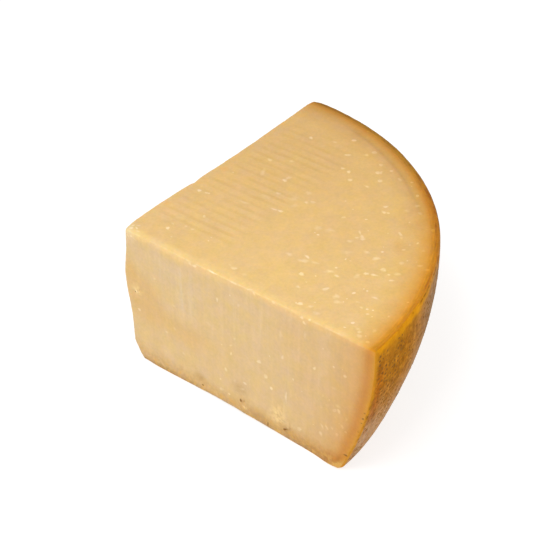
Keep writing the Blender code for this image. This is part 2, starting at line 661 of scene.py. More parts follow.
def closeMaterial(shader):
    output = shader.tree.nodes.new("ShaderNodeOutputMaterial")
    shader.tree.links.new(shader.socket, output.inputs["Surface"])


cheeseColours = {
    # the paste on the front cut is darker than on the top: painted shade, with a slightly less yellow tone
    "topPaste": (0.85, 0.58, 0.247),
    "frontPaste": (0.738, 0.52, 0.259),
    "backOfTop": (0.93, 0.87, 0.76),  # painted shade with browning: darker and browner at the far end of the level cut
    # painted shade on the left of the level cut
    "leftOfTop": (0.965, 0.955, 0.965),
    "rightOfFront": (0.975, 0.94, 0.9),
    "warmCloud": (0.99, 0.92, 0.76),
    "greyCloud": (0.98, 1.02, 1.13),
    "golden": (1.02, 1.005, 0.86),  # fine blotches
    "rosy": (1.0, 0.98, 1.07),
    "orange": (1.05, 0.96, 0.78),  # blotches along the left edge
    "lilac": (0.98, 0.99, 1.16),
    "streak": (1.03, 1.09, 1.23),  # pale upright streaks
    # tints over the paste by depth below the barrel side, as shares of browningDepth
    "topBrowning": (
        (0.0, (0.66, 0.36, 0.01)),
        (0.06, (0.75, 0.44, 0.015)),
        (0.12, (0.86, 0.55, 0.09)),
        (0.18, (0.9, 0.65, 0.26)),
        (0.28, (0.93, 0.75, 0.43)),
        (0.36, (0.945, 0.83, 0.61)),
        (0.48, (0.965, 0.9, 0.77)),
        (0.62, (0.98, 0.955, 0.88)),
        (0.8, (1.0, 1.0, 1.0)),
    ),
    "frontBrowning": (
        (0.0, (0.9, 0.6, 0.13)),
        (0.04, (0.88, 0.59, 0.16)),
        (0.08, (0.855, 0.55, 0.195)),
        (0.14, (0.83, 0.535, 0.235)),
        (0.2, (0.86, 0.61, 0.33)),
        (0.3, (0.92, 0.755, 0.55)),
        (0.4, (0.95, 0.82, 0.68)),
        (0.56, (0.965, 0.89, 0.785)),
        (0.94, (0.975, 0.955, 0.92)),
        (1.0, (1.0, 1.0, 1.0)),
    ),
    "browningDepth": 0.036,
    # painted shade in the groove inside the rim
    "rimGrooveShade": (0.66, 0.52, 0.45),
    "middleRim": (0.84, 0.83, 0.8),  # the rim is darker towards the back
    # painted sheen: the rim band turns greyer and bluer towards the back
    "backRimSheen": (0.93, 1.08, 1.6),
    # painted shade in the troughs of the knife ripples and painted highlight on their crests
    "rippleShade": (0.955, 0.94, 0.875),
    "rippleHighlight": (1.02, 1.03, 1.08),
    # painted sheen on a thin line near the outer edge of the rim, towards the back
    "outerRimSheen": (0.86, 1.02, 2.0),
    "nearRim": (0.975, 0.945, 0.9),
    "behindCrease": (0.92, 0.985, 1.18),
    "beforeCrease": (0.965, 0.99, 1.14),
    # painted shade in the crease and in the dent
    "creaseShade": (0.89, 0.87, 0.89),
    "dentShade": (0.96, 0.9, 0.84),
    # by height above the base, as shares of baseDepth: browning, with painted shade near the floor
    "baseBrowningAndShade": (
        (0.0, (0.5, 0.38, 0.26)),
        (0.12, (0.68, 0.59, 0.45)),
        (0.22, (0.78, 0.67, 0.48)),
        (0.34, (0.78, 0.65, 0.43)),
        (0.56, (0.86, 0.76, 0.57)),
        (0.8, (0.955, 0.915, 0.82)),
        (1.0, (1.0, 1.0, 1.0)),
    ),
    "baseDepth": 0.016,
    "goldenLump": (0.74, 0.43, 0.1),
    "edgeHighlightBelow": (1.12, 1.085, 0.98),  # painted highlight: the front edge is yellower, below it and above it
    "edgeHighlightAbove": (1.05, 1.075, 1.06),
    "edgeHighlightLine": (1.03, 1.11, 1.3),
    "edgeHighlightByTip": (1.04, 1.08, 1.16),
    "fleck": (0.97, 0.8, 0.5),
    # painted shade in the holes, also the colour of the pin pricks
    "pitted": (0.27, 0.115, 0.018),
    # painted shade in the crumbled hollows
    "hollow": (0.52, 0.3, 0.12),
    "crumbly": (0.94, 0.68, 0.3),
    "crystalOnTop": (1.19, 1.35, 1.9),
    "crystalOnSides": (1.17, 1.3, 1.56),
    "roughness": 0.42,
}
frontClouds = (
    # x, z, half width, half height, and how grey (above 0) or warm (below 0)
    (0.03, 0.09, 0.03, 0.012, 0.9),
    (0.016, 0.056, 0.016, 0.013, -1.3),
    (0.004, 0.072, 0.006, 0.014, -1.2),
    (0.048, 0.07, 0.012, 0.022, 0.5),
    (0.04, 0.044, 0.03, 0.01, -0.6),
    (0.135, 0.05, 0.01, 0.035, 0.4),
    (0.065, 0.045, 0.04, 0.016, -0.6),
    (0.175, 0.06, 0.02, 0.03, 0.3),
)
streakPatches = (
    # x, z, half width, half height
    (0.032, 0.09, 0.008, 0.015),
    (0.055, 0.08, 0.005, 0.022),
    (0.083, 0.068, 0.004, 0.011),
    (0.098, 0.092, 0.006, 0.014),
    (0.138, 0.045, 0.006, 0.032),
    (0.121, 0.085, 0.005, 0.012),
)


def regionsOf(place):
    # where a point lies: its place, its depths, and which cut it is on
    at = SimpleNamespace(place=place)
    at.x, at.y, at.z = split(place)
    at.underTop = topHeight(at.x, at.y, wheel) - at.z
    at.underRind = barrelRadius(at.z, wheel) - length(at.x, at.y)
    at.angle = angleRound(at.x, at.y)
    inward = atMost(atMost(at.x, at.y) * 0.5, 0.002)
    at.onTop = fade(at.underTop - inward, 0.0006, 0.003)
    at.onSides = 1 - at.onTop
    at.onFront = fade(at.y, 0.003, 0.007) * at.onSides
    return at


def clouded(colour, at):
    # broad clouds, fine blotches and grain in the paste
    place = at.place
    greyness = noise(place, 11, 4, 21, 0.6) * 3
    for cloud in frontClouds:
        greyness = greyness + spotShare(at.x, at.z, cloud) * cloud[-1] * at.onFront
    colour = washed(colour, rise(greyness, 0, 1.2), "greyCloud")
    colour = washed(colour, rise(-greyness, 0, 1.2), "warmCloud")
    blotch = rise(noise(place, 105, 3, 25, 0.62), -0.24, 0.24)
    colour = tinted(colour, mixed(blotch, cheeseColours["golden"], cheeseColours["rosy"]))
    beside = fade(at.x + noise(place, 60, 2, 63) * 0.008, 0.004, 0.012) * rise(at.y, 0.01, 0.02)
    beside = beside * at.onTop
    patch = noise(place, 85, 2, 62)
    colour = washed(colour, rise(patch, 0.02, 0.2) * beside, "orange")
    colour = washed(colour, rise(-patch, 0.02, 0.2) * beside, "lilac")
    grain = noise(place, 90, 3, 27, 0.6) + noise(place, 480, 2, 26) * 0.8
    return scaled(colour, 1 + grain * 0.2)


def streaked(colour, at):
    # upright pale streaks where it was cut upright
    drawn = join(at.x, at.x, at.y, at.z * 0.06)
    patch = rise(noise(at.place, 22, 2, 28), -0.1, 0.15) * at.onSides * 0.5
    for streak in streakPatches:
        patch = patch + spotShare(at.x, at.z, streak) * at.onFront
    pale = rise(noise(drawn, 190, 3, 6, 0.62), -0.04, 0.2) * patch
    colour = washed(colour, atMost(pale, 1), "streak")
    return scaled(colour, 1 + noise(drawn, 330, 2, 7) * at.onSides * 0.1)


def rippled(colour, at):
    # painted shade in the ripples' troughs and painted highlight on their crests, painted shade in the
    # crease and the dent, a painted sheen on a line by the rim at the back, and the rim changes inwards
    place, x, y, onTop, depth = at.place, at.x, at.y, at.onTop, at.underRind
    swing = chatter(place, y) * chatterBand(x, y) * chatterStrength(place) * onTop
    far = rise(at.angle, 0.52, 0.85) * onTop
    for tint, share in (
        ("rippleShade", clamped(-swing)),
        ("rippleHighlight", clamped(swing)),
        ("creaseShade", creaseShare(place, x, y) * onTop),
        ("dentShade", dentShare(x, y) * onTop),
        ("outerRimSheen", hump(depth - 0.0016, 0.0009) * onTop * rise(at.angle, 0.8, 1.0)),
        ("nearRim", fade(depth, 0.006, 0.0085) * far),
        ("behindCrease", rise(depth, 0.006, 0.0085) * fade(depth, 0.0115, 0.0135) * far),
        ("beforeCrease", rise(depth, 0.0115, 0.0135) * fade(depth, 0.017, 0.023) * far),
    ):
        colour = washed(colour, share, tint)
    return colour


def browned(colour, at):
    # browned towards both rinds
    place, x, z, underRind, onTop = at.place, at.x, at.z, at.underRind, at.onTop
    uneven = noise(place, 24, 3, 22) * 0.35 + noise(place, 110, 3, 30, 0.6) * 0.4 + 1
    share = underRind / cheeseColours["browningDepth"] * uneven
    overTop, overSides = (ramped(share, cheeseColours[name]) for name in ("topBrowning", "frontBrowning"))
    colour = tinted(colour, mixed(onTop, overSides, overTop))
    # lines that run along the rim
    along = join(place, at.angle * 0.025, underRind, 0)
    lines = noise(along, 620, 3, 61, 0.6) * fade(underRind, 0.0035, 0.008) * onTop
    colour = scaled(colour, 1 + lines * 0.9)
    # painted shade in a broken groove inside the rim
    grooveShade = hump(underRind - 0.0022 + noise(along, 160, 2, 66) * 0.006, 0.0006) * onTop
    grooveShade = grooveShade * rise(noise(place, 90, 3, 67), -0.06, 0.12) * rise(at.angle, 0.12, 0.3)
    colour = washed(colour, grooveShade * 0.8, "rimGrooveShade")
    outer = fade(underRind, 0.003, 0.0085) * onTop
    colour = washed(colour, rise(at.angle, 0.35, 0.65) * outer, "middleRim")
    # painted sheen on the rim band towards the back
    colour = washed(colour, rise(at.angle, 0.8, 1.1) * outer, "backRimSheen")
    # browned towards the base, with painted shade where it meets the floor
    patchy = noise(place, 40, 3, 29) * 0.9 + noise(place, 170, 2, 48) * 0.7 + 1
    strength = atMost(rise(x, 0.06, 0.16) * 0.48 + fade(z, 0.0015, 0.0055) * 0.4 + 0.5, 1)
    low = ramped(z / cheeseColours["baseDepth"] * patchy, cheeseColours["baseBrowningAndShade"])
    colour = washed(colour, strength, low)
    flecks = noise(place, 300, 3, 46, 0.6) * fade(z, 0.004, 0.016)
    colour = scaled(colour, 1 + flecks * 0.7)
    lumps = rise(noise(place, 230, 2, 45), 0.01, 0.13) * fade(z, 0.004, 0.011) * at.onSides
    corner = fade(z + underRind, 0.006, 0.016) * at.onSides
    return mixed(atMost(lumps * 0.65 + corner * 0.8, 0.85), colour, cheeseColours["goldenLump"])


def edged(colour, at):
    # painted highlight along the front edge: a yellow glow on both sides of a thin broken pale line
    place, x, y, underTop = at.place, at.x, at.y, at.underTop
    broken = noise(place, 120, 3, 23, 0.6)
    away = underTop + y
    reach = 0.0088 - rise(x, 0.05, 0.2) * 0.0015 + noise(place, 30, 2, 58) * 0.004
    glow = fade(away, 0.0022, reach) * rise(broken, -0.9, 0.1)
    colour = washed(colour, glow, mixed(at.onTop, cheeseColours["edgeHighlightBelow"], cheeseColours["edgeHighlightAbove"]))
    bright = fade(away, 0.002, 0.0056) * rise(x, 0.003, 0.01) * fade(x, 0.045, 0.075)
    colour = washed(colour, bright * rise(broken, -0.5, 0), "edgeHighlightByTip")
    aside = underTop - y - 0.0007 - rise(x, 0.18, 0.2) * 0.0008 + noise(place, 35, 2, 59) * 0.0035
    line = hump(aside, 0.00065) * fade(away, 0.003, 0.005) * rise(broken, -0.16, 0.1)
    colour = washed(colour, line, "edgeHighlightLine")
    crumbs = cornerHump(x, y, underTop, 0.0075) * rise(broken, -0.25, 0.15)
    return mixed(crumbs * 0.65, colour, cheeseColours["fleck"])


def pitted(colour, at):
    # painted shade in the holes and in the crumbled hollows of the front cut, pale crumbly lumps, and
    # pricks along its edge by the rind
    x, z = at.x, at.z
    broken = noise(at.place, 260, 3, 60, 0.6)
    for shape in frontPatches:
        inside = spotShare(x, z, shape) * at.onFront
        name, share = ("hollow", 0.6) if shape[-1] > 0 else ("crumbly", 0.9)
        solid = rise(broken, -0.12, 0.12) * 0.7 + 0.3
        colour = mixed(inside * solid * share, colour, cheeseColours[name])
        shadow = hump(broken + 0.1, 0.05) * inside
        colour = mixed(shadow * 0.35, colour, cheeseColours["hollow"])
    for shape in frontHoles:
        inside = spotShare(x, z, shape) * at.onFront
        colour = mixed(rise(inside, 0.15, 0.75) * 0.92, colour, cheeseColours["pitted"])
    pricks = rise(noise(join(x, 0.2, 0.7, z), 330, 1, 47), 0.03, 0.13)
    pricks = pricks * hump(at.underRind - 0.0012, 0.0007) * at.onFront
    pricks = pricks * rise(z, 0.03, 0.036) * fade(z, 0.058, 0.064)
    return mixed(pricks, colour, cheeseColours["pitted"])


def pasteColour(at):
    # painted shade: the front cut's paste is darker than the top's
    colour = mixed(at.onTop, cheeseColours["frontPaste"], cheeseColours["topPaste"])
    # painted shade with browning: darker and browner towards the back of the level cut
    colour = washed(colour, rise(at.y, -0.02, 0.2) * at.onTop, "backOfTop")
    # painted shade: a little darker on the left of the level cut; and warmer on the right of the front cut
    colour = washed(colour, fade(at.x, 0.035, 0.095) * at.onTop, "leftOfTop")
    colour = washed(colour, rise(at.x, 0.105, 0.165) * at.onSides, "rightOfFront")
    for change in (clouded, streaked, rippled, browned, edged, pitted):
        colour = change(colour, at)
    return colour


pasteFinish = {
    "Subsurface Weight": 0.25,
    "Subsurface Radius": (1.0, 0.5, 0.2),
    "Subsurface Scale": 0.002,
    "Specular IOR Level": 0.14,
}


def pasteShader(place):
    relief = noise(place, 650, 3, 41) * 0.6 + noise(place, 150, 3, 42)
    roughness = cheeseColours["roughness"] + noise(place, 50, 3, 43) * 0.25
    return surface(pasteColour(regionsOf(place)), roughness, bumped(relief, 0.00035), pasteFinish)


rindColours = {
    "body": (0.43, 0.165, 0.015),
    "pale": (0.65, 0.27, 0.028),
    "dark": (0.21, 0.062, 0.008),
    "border": (0.81, 0.335, 0.01),  # the band under the level cut
    "borderHeight": 0.0044,
    "frontBorder": (0.64, 0.275, 0.02),
    "far": (0.345, 0.24, 0.16),  # painted sheen and shade: greyer and duller a little way round from the front cut
    "backBorder": (0.2, 0.122, 0.06),
    "low": (0.555, 0.37, 0.23),  # painted reflection of the floor: paler and greyer towards the base
    "reddish": (1.02, 0.8, 0.7),
    "pinDark": (0.2, 0.08, 0.016),
    "pinPale": (0.32, 0.138, 0.028),
    "pinRim": (0.36, 0.165, 0.035),
    "roughness": 0.42,
}
rindFinish = {
    "Subsurface Weight": 0.1,
    "Subsurface Radius": (1.0, 0.4, 0.1),
    "Subsurface Scale": 0.0015,
    "Specular IOR Level": 0.0,
}


def rindShader(place):
    at = regionsOf(place)
    z, underTop, angle, tones = at.z, at.underTop, at.angle, rindColours
    # patterns are drawn on the unrolled side
    around = angle * wheel["Wheel radius"]
    unrolled = join(place, around, z, at.underRind)
    mottle = noise(unrolled, 150, 5, 31, 0.78)
    shade = mottle + noise(unrolled, 22, 3, 64) * 0.5
    colour = mixed(rise(shade, -0.28, 0), tones["dark"], tones["body"])
    colour = mixed(rise(shade, 0, 0.26), colour, tones["pale"])
    # painted reflection of the floor: paler and greyer low down, broken by upright streaks
    lowDown = fade(z + noise(unrolled, 25, 3, 32) * 0.05, 0.018, 0.082)
    upright = noise(join(place, around, z * 0.15, 0), 230, 3, 33, 0.6)
    # painted sheen and shade: greyer and duller from a little way round the front cut, easing off towards
    # the back
    far = rise(angle, 0.16, 0.46) * (1 - rise(angle, 0.58, 0.95) * 0.65)
    colour = mixed(far * 0.78, colour, tones["far"])
    colour = mixed(clamped(lowDown * (0.6 + upright * 1.4 + mottle * 1.4)), colour, tones["low"])
    colour = scaled(colour, 1 + noise(unrolled, 330, 3, 34, 0.6) * 1.3)
    redness = hump(around - 0.0065, 0.0045) * rise(z, 0.035, 0.06) * fade(z, 0.088, 0.104)
    colour = washed(colour, redness * 0.8, tones["reddish"])
    # the border under the level cut, and the narrow one beside the front cut
    away = underTop - (tones["borderHeight"] + noise(unrolled, 60, 4, 36, 0.65) * 0.016)
    border = fade(away, -0.0022, 0.0022) * 0.75 + fade(away, 0, 0.012) * 0.25
    border = border * (1 - rise(angle, 0.2, 0.45) * 0.5)
    colour = mixed(border * 0.92, colour, tones["border"])
    frontBorder = fade(around + mottle * 0.009, 0.001, 0.0032)
    colour = mixed(frontBorder * 0.85, colour, tones["frontBorder"])
    # painted shade in a thin groove just below the level cut
    grooveShade = rise(noise(unrolled, 140, 3, 65), -0.08, 0.12)
    grooveShade = hump(underTop - 0.0005 + mottle * 0.002, 0.0006) * grooveShade
    colour = mixed(grooveShade * 0.65, colour, tones["dark"])
    pricks = rise(noise(join(place, around, z, 0.7), 330, 1, 68), 0.02, 0.12)
    pricks = pricks * hump(around - 0.0016, 0.0009) * rise(z, 0.028, 0.036) * fade(z, 0.062, 0.072)
    colour = mixed(pricks, colour, cheeseColours["pitted"])
    colour = scaled(colour, 1 + noise(unrolled, 120, 3, 35, 0.6) * 0.7)
    backwards = rise(angle, 0.5, 0.95) * fade(underTop, 0.0012, 0.0026)
    colour = mixed(backwards * 0.85, colour, tones["backBorder"])
    relief = noise(unrolled, 260, 4, 37, 0.6) + mottle * 1.8 + upright * lowDown * 0.8
    return surface(colour, tones["roughness"] + mottle * 0.3, bumped(relief, 0.0006), rindFinish)


def cheeseMaterial():
    material, start = newMaterial("cheese paste and rind")
    place = placeFromTip(start)
    x, y, z = split(place)
    side = barrelRadius(z, wheel) + bellyAt(z, chunkSizes["Rind belly"])
    underRind = side - length(x, y) + noise(place, 120, 2, 44) * 0.0006
    skin = atLeast(fade(underRind, 0.0004, 0.0011), fade(z, 0.0003, 0.001))
    closeMaterial(place.add("ShaderNodeMixShader", {}, (skin, pasteShader(place), rindShader(place))))
    return material


# Crystals: pale flecks set flush in the cuts. The bold ones are listed one by one, the rest are scattered.

crystalSizes = {
    "Density": 4600.0,  # on a square metre where they are thickest
    "Apart": 0.0024,
    "Small": 0.00075,
    "Large": 0.0026,
    "Height": 0.00012,
    "Sunk": 0.00003,
    "Raggedness": 0.0007,
    "Narrowest": 0.5,  # width as a share of the length
    "Flatness": 0.2,
    "Seed": 11,
    "Tip place": tip,
    **wheel,
}
boldSettings = {
    "growth": 1.35,  # the ragged outline is drawn this much larger
    "lobes": ((2, 0.16), (3, 0.14), (5, 0.1)),  # waves round the outline, and how high
    "fineFrom": 2.4,  # longer ones than this are divided once more
    "seed": 5,
}
boldCrystals = {
    # x, y, half length and half width in millimetres, turn in degrees, and how clear it is
    "top": (
        (24, 18, 1.5, 1.3, 0, 1.0), (88, 11, 2.2, 1.4, -10, 1.0), (84, 12, 1.2, 0.8, -30, 0.6),
        (10, 65, 1.7, 1.3, 0, 1.0), (16, 66, 1.5, 1.3, 40, 0.8), (70, 80, 1.9, 1.1, 25, 1.0),
        (65, 79, 2.6, 0.9, 10, 0.6), (55, 96, 1.9, 1.6, 0, 0.7), (80, 102, 2.0, 1.4, 30, 1.0),
        (50, 87, 5.0, 2.6, -10, 0.3), (44, 73, 5.0, 1.4, 5, 0.4), (67, 97, 3.4, 2.6, 20, 0.35),
        (131, 90, 2.0, 1.3, -35, 1.0), (133, 88, 1.7, 1.3, 20, 0.9), (127, 93, 2.4, 0.9, -35, 0.6),
        (110, 83, 3.0, 2.4, 20, 0.5), (128, 81, 1.9, 1.7, 0, 0.6), (144, 78, 2.2, 1.7, 0, 0.5),
        (153, 76, 2.3, 2.1, 60, 0.75), (134, 70, 3.8, 2.4, 20, 0.4), (164, 69, 2.0, 1.8, 60, 1.0),
        (174, 71, 2.5, 1.3, 25, 0.9), (158, 59, 1.6, 1.4, 0, 0.9), (163, 61, 2.6, 1.0, 10, 0.8),
        (155, 53, 2.8, 1.8, 80, 0.55), (117, 50, 2.1, 1.1, -15, 0.9), (118, 45, 3.2, 2.2, 15, 0.5),
        (125, 48, 3.0, 1.2, 5, 0.5), (138, 46, 3.0, 1.8, 30, 0.6), (178, 42, 2.6, 1.0, 0, 0.6),
        (126, 33, 1.9, 1.5, 0, 1.0), (148, 30, 2.0, 1.6, 60, 1.0), (158, 28, 2.5, 2.0, -20, 0.6),
        (162, 24, 2.4, 2.0, 0, 0.5), (133, 21, 1.5, 1.2, 0, 0.9), (145, 8, 2.1, 1.3, 15, 1.0),
        (159, 7, 2.3, 2.0, 0, 0.5), (193, 6, 1.9, 1.6, 0, 0.8), (197, 16, 1.6, 1.5, 0, 0.6),
        (27, 166, 2.2, 1.1, -35, 1.0), (62, 164, 2.1, 1.4, 35, 1.0), (44, 172, 2.0, 1.3, 20, 0.6),
        (72, 172, 1.9, 1.5, 0, 0.7), (88, 168, 1.9, 1.2, -30, 1.0), (94, 160, 1.5, 1.3, -45, 1.0),
        (70, 148, 1.6, 1.2, -10, 0.9), (76, 147, 1.8, 1.3, -35, 1.0), (97, 140, 1.9, 1.2, 0, 0.6),
        (23, 125, 1.9, 1.6, 0, 0.9), (36, 133, 2.3, 1.6, 80, 0.5), (48, 111, 1.7, 1.5, 0, 1.0),
        (48, 115, 2.5, 1.5, 90, 0.5), (29, 110, 4.2, 1.9, -60, 0.4), (71, 109, 2.6, 1.9, 20, 0.4),
        (110, 161, 2.0, 1.3, -20, 0.8), (138, 142, 1.9, 1.6, -30, 0.6), (145, 136, 1.5, 1.4, 0, 1.0),
        (136, 133, 2.3, 2.0, 0, 0.5), (122, 128, 1.7, 1.6, 0, 0.8), (125, 122, 2.0, 1.2, -30, 0.9),
        (149, 108, 2.1, 1.1, -35, 1.0), (152, 105, 1.3, 1.2, 0, 0.6), (172, 102, 1.4, 1.2, 0, 0.8),
        (77, 99, 1.6, 1.3, 20, 0.6), (73, 91, 3.0, 1.8, 60, 0.3), (102, 80, 3.0, 2.4, 0, 0.45),
        (106, 45, 2.5, 1.8, 0, 0.4), (169, 82, 1.9, 1.7, 0, 0.6), (180, 87, 1.6, 1.1, 60, 0.8),
        (175, 63, 1.7, 1.1, 30, 0.7), (172, 32, 1.3, 1.1, 0, 0.6), (177, 29, 1.3, 1.0, 0, 0.6),
        (188, 11, 1.6, 1.3, 0, 0.6), (32, 27, 1.3, 1.1, 0, 0.5), (38, 27, 1.3, 1.1, 0, 0.5),
        (22, 31, 3.0, 2.2, 0, 0.25), (98, 10, 2.2, 1.8, 0, 0.3), (152, 10, 1.7, 1.4, 0, 0.5),
        # crumbs at the tip
        (5, 3, 1.6, 0.9, 40, 0.8), (8, 5, 1.5, 0.8, -30, 0.7), (4, 6, 1.4, 0.8, 70, 0.7),
        (11, 3, 1.6, 0.7, 10, 0.6), (7, 8, 1.5, 1.0, 30, 0.5),
    ),
    # x, z
    "front": (
        (83, 88, 1.7, 1.0, 80, 0.9), (155, 106, 1.2, 1.2, 0, 1.0), (156, 97, 2.4, 1.3, 90, 0.4),
        (101, 92, 1.6, 1.3, 0, 0.5), (136, 87, 3.0, 1.6, 90, 0.4), (164, 74, 1.4, 1.1, 70, 1.0),
        (138, 69, 2.0, 1.0, 80, 0.8), (180, 66, 1.7, 1.5, 0, 0.6), (75, 64, 2.0, 1.8, 0, 0.35),
        (118, 54, 1.9, 1.4, 0, 0.9), (94, 48, 1.5, 0.8, 60, 0.9), (94, 55, 1.6, 0.8, 40, 0.6),
        (183, 53, 1.8, 1.6, 0, 0.6), (44, 43, 1.4, 1.3, 0, 0.5), (36, 36, 1.2, 1.1, 0, 0.5),
        (51, 25, 1.2, 1.1, 0, 0.6), (10, 58, 1.6, 1.2, 20, 0.9), (141, 36, 6.0, 0.6, 90, 0.8),
        (171, 29, 1.9, 1.0, -55, 0.9), (175, 30, 2.0, 0.9, -55, 0.9), (179, 32, 1.7, 0.9, -60, 0.6),
        (183, 29, 1.6, 1.2, 80, 0.7), (187, 38, 1.7, 1.1, -70, 0.7), (190, 35, 1.2, 0.9, -30, 0.7),
        (170, 22, 1.8, 1.2, -55, 0.9), (152, 15, 2.0, 1.7, -60, 0.8), (142, 10, 2.0, 1.0, 80, 0.7),
        (85, 12, 1.9, 1.2, 40, 0.9), (103, 22, 2.2, 1.4, 30, 0.6), (97, 26, 1.8, 1.2, 60, 0.5),
        (170, 45, 1.6, 1.0, 60, 0.5), (190, 46, 1.6, 1.1, 80, 0.5), (171, 55, 1.4, 0.8, 60, 0.5),
        (97, 62, 1.5, 1.0, 40, 0.6), (27, 77, 1.3, 0.9, 0, 0.5), (44, 63, 1.5, 1.2, 0, 0.4),
        # pale lumps along the top edge, and crumbs at the tip
        (60, 106, 2.0, 1.0, -10, 0.6), (64, 106, 2.0, 0.9, 15, 0.8), (79, 108, 3.2, 0.6, 0, 0.9),
        (97, 108, 2.6, 0.6, 5, 0.7), (110, 109, 2.0, 0.8, 20, 0.7), (114, 108, 1.4, 0.8, -30, 0.6),
        (130, 109, 1.3, 1.1, 0, 0.8), (153, 109, 1.4, 1.1, 0, 0.8), (159, 110, 1.2, 1.0, 0, 0.7),
        (4, 102, 1.4, 0.7, -30, 0.6), (7, 103, 1.5, 0.7, 20, 0.6), (10, 102, 1.6, 0.8, -20, 0.4),
    ),
}


def riseOf(place):
    return place.add("ShaderNodeAttribute", {"attribute_name": "rise"}, (), "Fac")


def keepRise(mesh, value):
    # how high a vertex stands in its own little shape, from 0 at its edge to 1
    values = {"Geometry": mesh, "Name": "rise", "Value": value}
    return mesh.add("GeometryNodeStoreNamedAttribute", {"data_type": "FLOAT", "domain": "POINT"}, values)


def random(start, least, most, seed):
    # a number, or a vector between two vectors
    values, kind, first, out = {"Seed": seed}, "FLOAT", 2, 1
    if isinstance(least, tuple):
        kind, first, out = "FLOAT_VECTOR", 0, 0
    values.update({first: least, first + 1: most})
    return start.add("FunctionNodeRandomValue", {"data_type": kind}, values, out)


def nearestOn(skin, place):
    values = {"Geometry": skin, "Sample Position": place}
    return place.add("GeometryNodeProximity", {"target_element": "FACES"}, values)


def laidOn(skin, geometry, height, sunk):
    # drapes small shapes over a surface, each vertex as high above it as its rise says
    here = geometry.add("GeometryNodeInputPosition")
    values = {"Mesh": skin, "Value": geometry.add("GeometryNodeInputNormal"), "Sample Position": here}
    settings = {"data_type": "FLOAT_VECTOR"}
    normal = geometry.add("GeometryNodeSampleNearestSurface", settings, values, "Value")
    rise = geometry.add("GeometryNodeInputNamedAttribute", {"data_type": "FLOAT"}, {"Name": "rise"})
    return moveTo(geometry, vectors("ADD", nearestOn(skin, here), scaled(normal, rise * height - sunk)))


def crystalShare(place, given):
    # how thickly the crystals lie: most by the rind and on the right
    x, y, z = split(place)
    underTop = topHeight(x, y, given) - z
    underRind = barrelRadius(z, given) - length(x, y)
    onTop = fade(underTop, 0.001, 0.002) * rise(y, 0.003, 0.005)
    thick = rise(x * 0.8 + underRind * -0.4 + noise(place, 22, 2, 51) * 0.12, 0, 0.115)
    onSides = (1 - fade(underTop, 0.003, 0.005)) * rise(z, 0.006, 0.012)
    onSides = onSides * rise(x * 0.8 + noise(place, 22, 2, 52) * 0.2, 0, 0.17)
    return (onTop * (thick * 0.9 + 0.1) + onSides * 0.5) * rise(underRind, 0.003, 0.008)


def scatterCrystals(piece, material):
    tree, start, given = newTree("crystal scatter", crystalSizes)
    here = start.add("GeometryNodeInputPosition")
    values = {
        "Mesh": given["Geometry"],
        "Distance Min": given["Apart"],
        "Density Max": given["Density"],
        "Density Factor": crystalShare(vectors("SUBTRACT", here, given["Tip place"]), given),
        "Seed": given["Seed"],
    }
    settings = {"distribute_method": "POISSON"}
    points, rotation = start.add(
        "GeometryNodeDistributePointsOnFaces", settings, values, ("Points", "Rotation")
    )
    ball = start.add("GeometryNodeMeshUVSphere", {}, {"Segments": 9, "Rings": 6, "Radius": 1})
    flake = keepRise(ball, square(atLeast(split(here)[2], 0)))
    turn = join(start, 0, 0, random(start, 0, 6.28, 1))
    spin = start.add("FunctionNodeEulerToRotation", {}, (turn,))
    rotation = start.add("FunctionNodeRotateRotation", {"rotation_space": "LOCAL"}, (rotation, spin))
    dice = random(start, 0, 1, 2)
    radius = between(dice * dice, given["Small"], given["Large"])
    wide = radius * random(start, given["Narrowest"], 1, 3)
    size = join(start, radius, wide, radius * given["Flatness"])
    values = {"Points": points, "Instance": flake, "Rotation": rotation, "Scale": size}
    flakes = start.add("GeometryNodeInstanceOnPoints", {}, values)
    solid = start.add("GeometryNodeRealizeInstances", {}, (flakes,))
    ragged = join(start, *(noise(here, 700, 1, seed) for seed in (53, 54, 55)))
    solid = moveBy(solid, scaled(ragged, given["Raggedness"]))
    solid = laidOn(given["Geometry"], solid, given["Height"], given["Sunk"])
    finishTree(tree, solid, material)
    return runTree("crystals", piece.data.copy(), tree, crystalSizes, material)


def addBoldCrystals(scattered, piece):
    # ragged domes draped over the surface found under each place
    dice, lobes = Random(boldSettings["seed"]), boldSettings["lobes"]
    skin = BVHTree.FromPolygons(
        [vert.co for vert in piece.data.vertices], [face.vertices for face in piece.data.polygons]
    )
    bm = bmesh.new()
    bm.from_mesh(scattered.data)
    rises = bm.verts.layers.float["rise"]
    for side, crystals in boldCrystals.items():
        for along, up, longHalf, wideHalf, turn, clear in crystals:
            if side == "top":
                ray, way = Vector((along / 1000, up / 1000, 0.3)), Vector((0, 0, -1))
            else:
                ray, way = Vector((along / 1000, -0.1, up / 1000)), Vector((0, 1, 0))
            hit, normal = skin.ray_cast(ray + tip, way)[:2]
            if hit is None:
                continue
            first = Vector((1, 0, 0))
            first = (first - normal * first.dot(normal)).normalized()
            first.rotate(Quaternion(normal, math.radians(turn)))
            second = normal.cross(first)
            phases = [dice.uniform(0, 2 * math.pi) for lobe in lobes]
            fineness = 3 if longHalf > boldSettings["fineFrom"] else 2
            for vert in bmesh.ops.create_icosphere(bm, subdivisions=fineness, radius=1)["verts"]:
                a, b, c = vert.co
                bearing = math.atan2(b, a)
                ragged = 1 + sum(
                    tall * math.sin(many * bearing + phase) for (many, tall), phase in zip(lobes, phases)
                )
                away = (first * a * longHalf + second * b * wideHalf) * ragged * boldSettings["growth"]
                below, normalThere = skin.find_nearest(hit + away / 1000)[:2]
                vert[rises] = max(0, c) ** 2 * clear
                lift = vert[rises] * crystalSizes["Height"] - crystalSizes["Sunk"] * min(1, 1 - c)
                vert.co = below + normalThere * lift
    bm.to_mesh(scattered.data)
    bm.free()


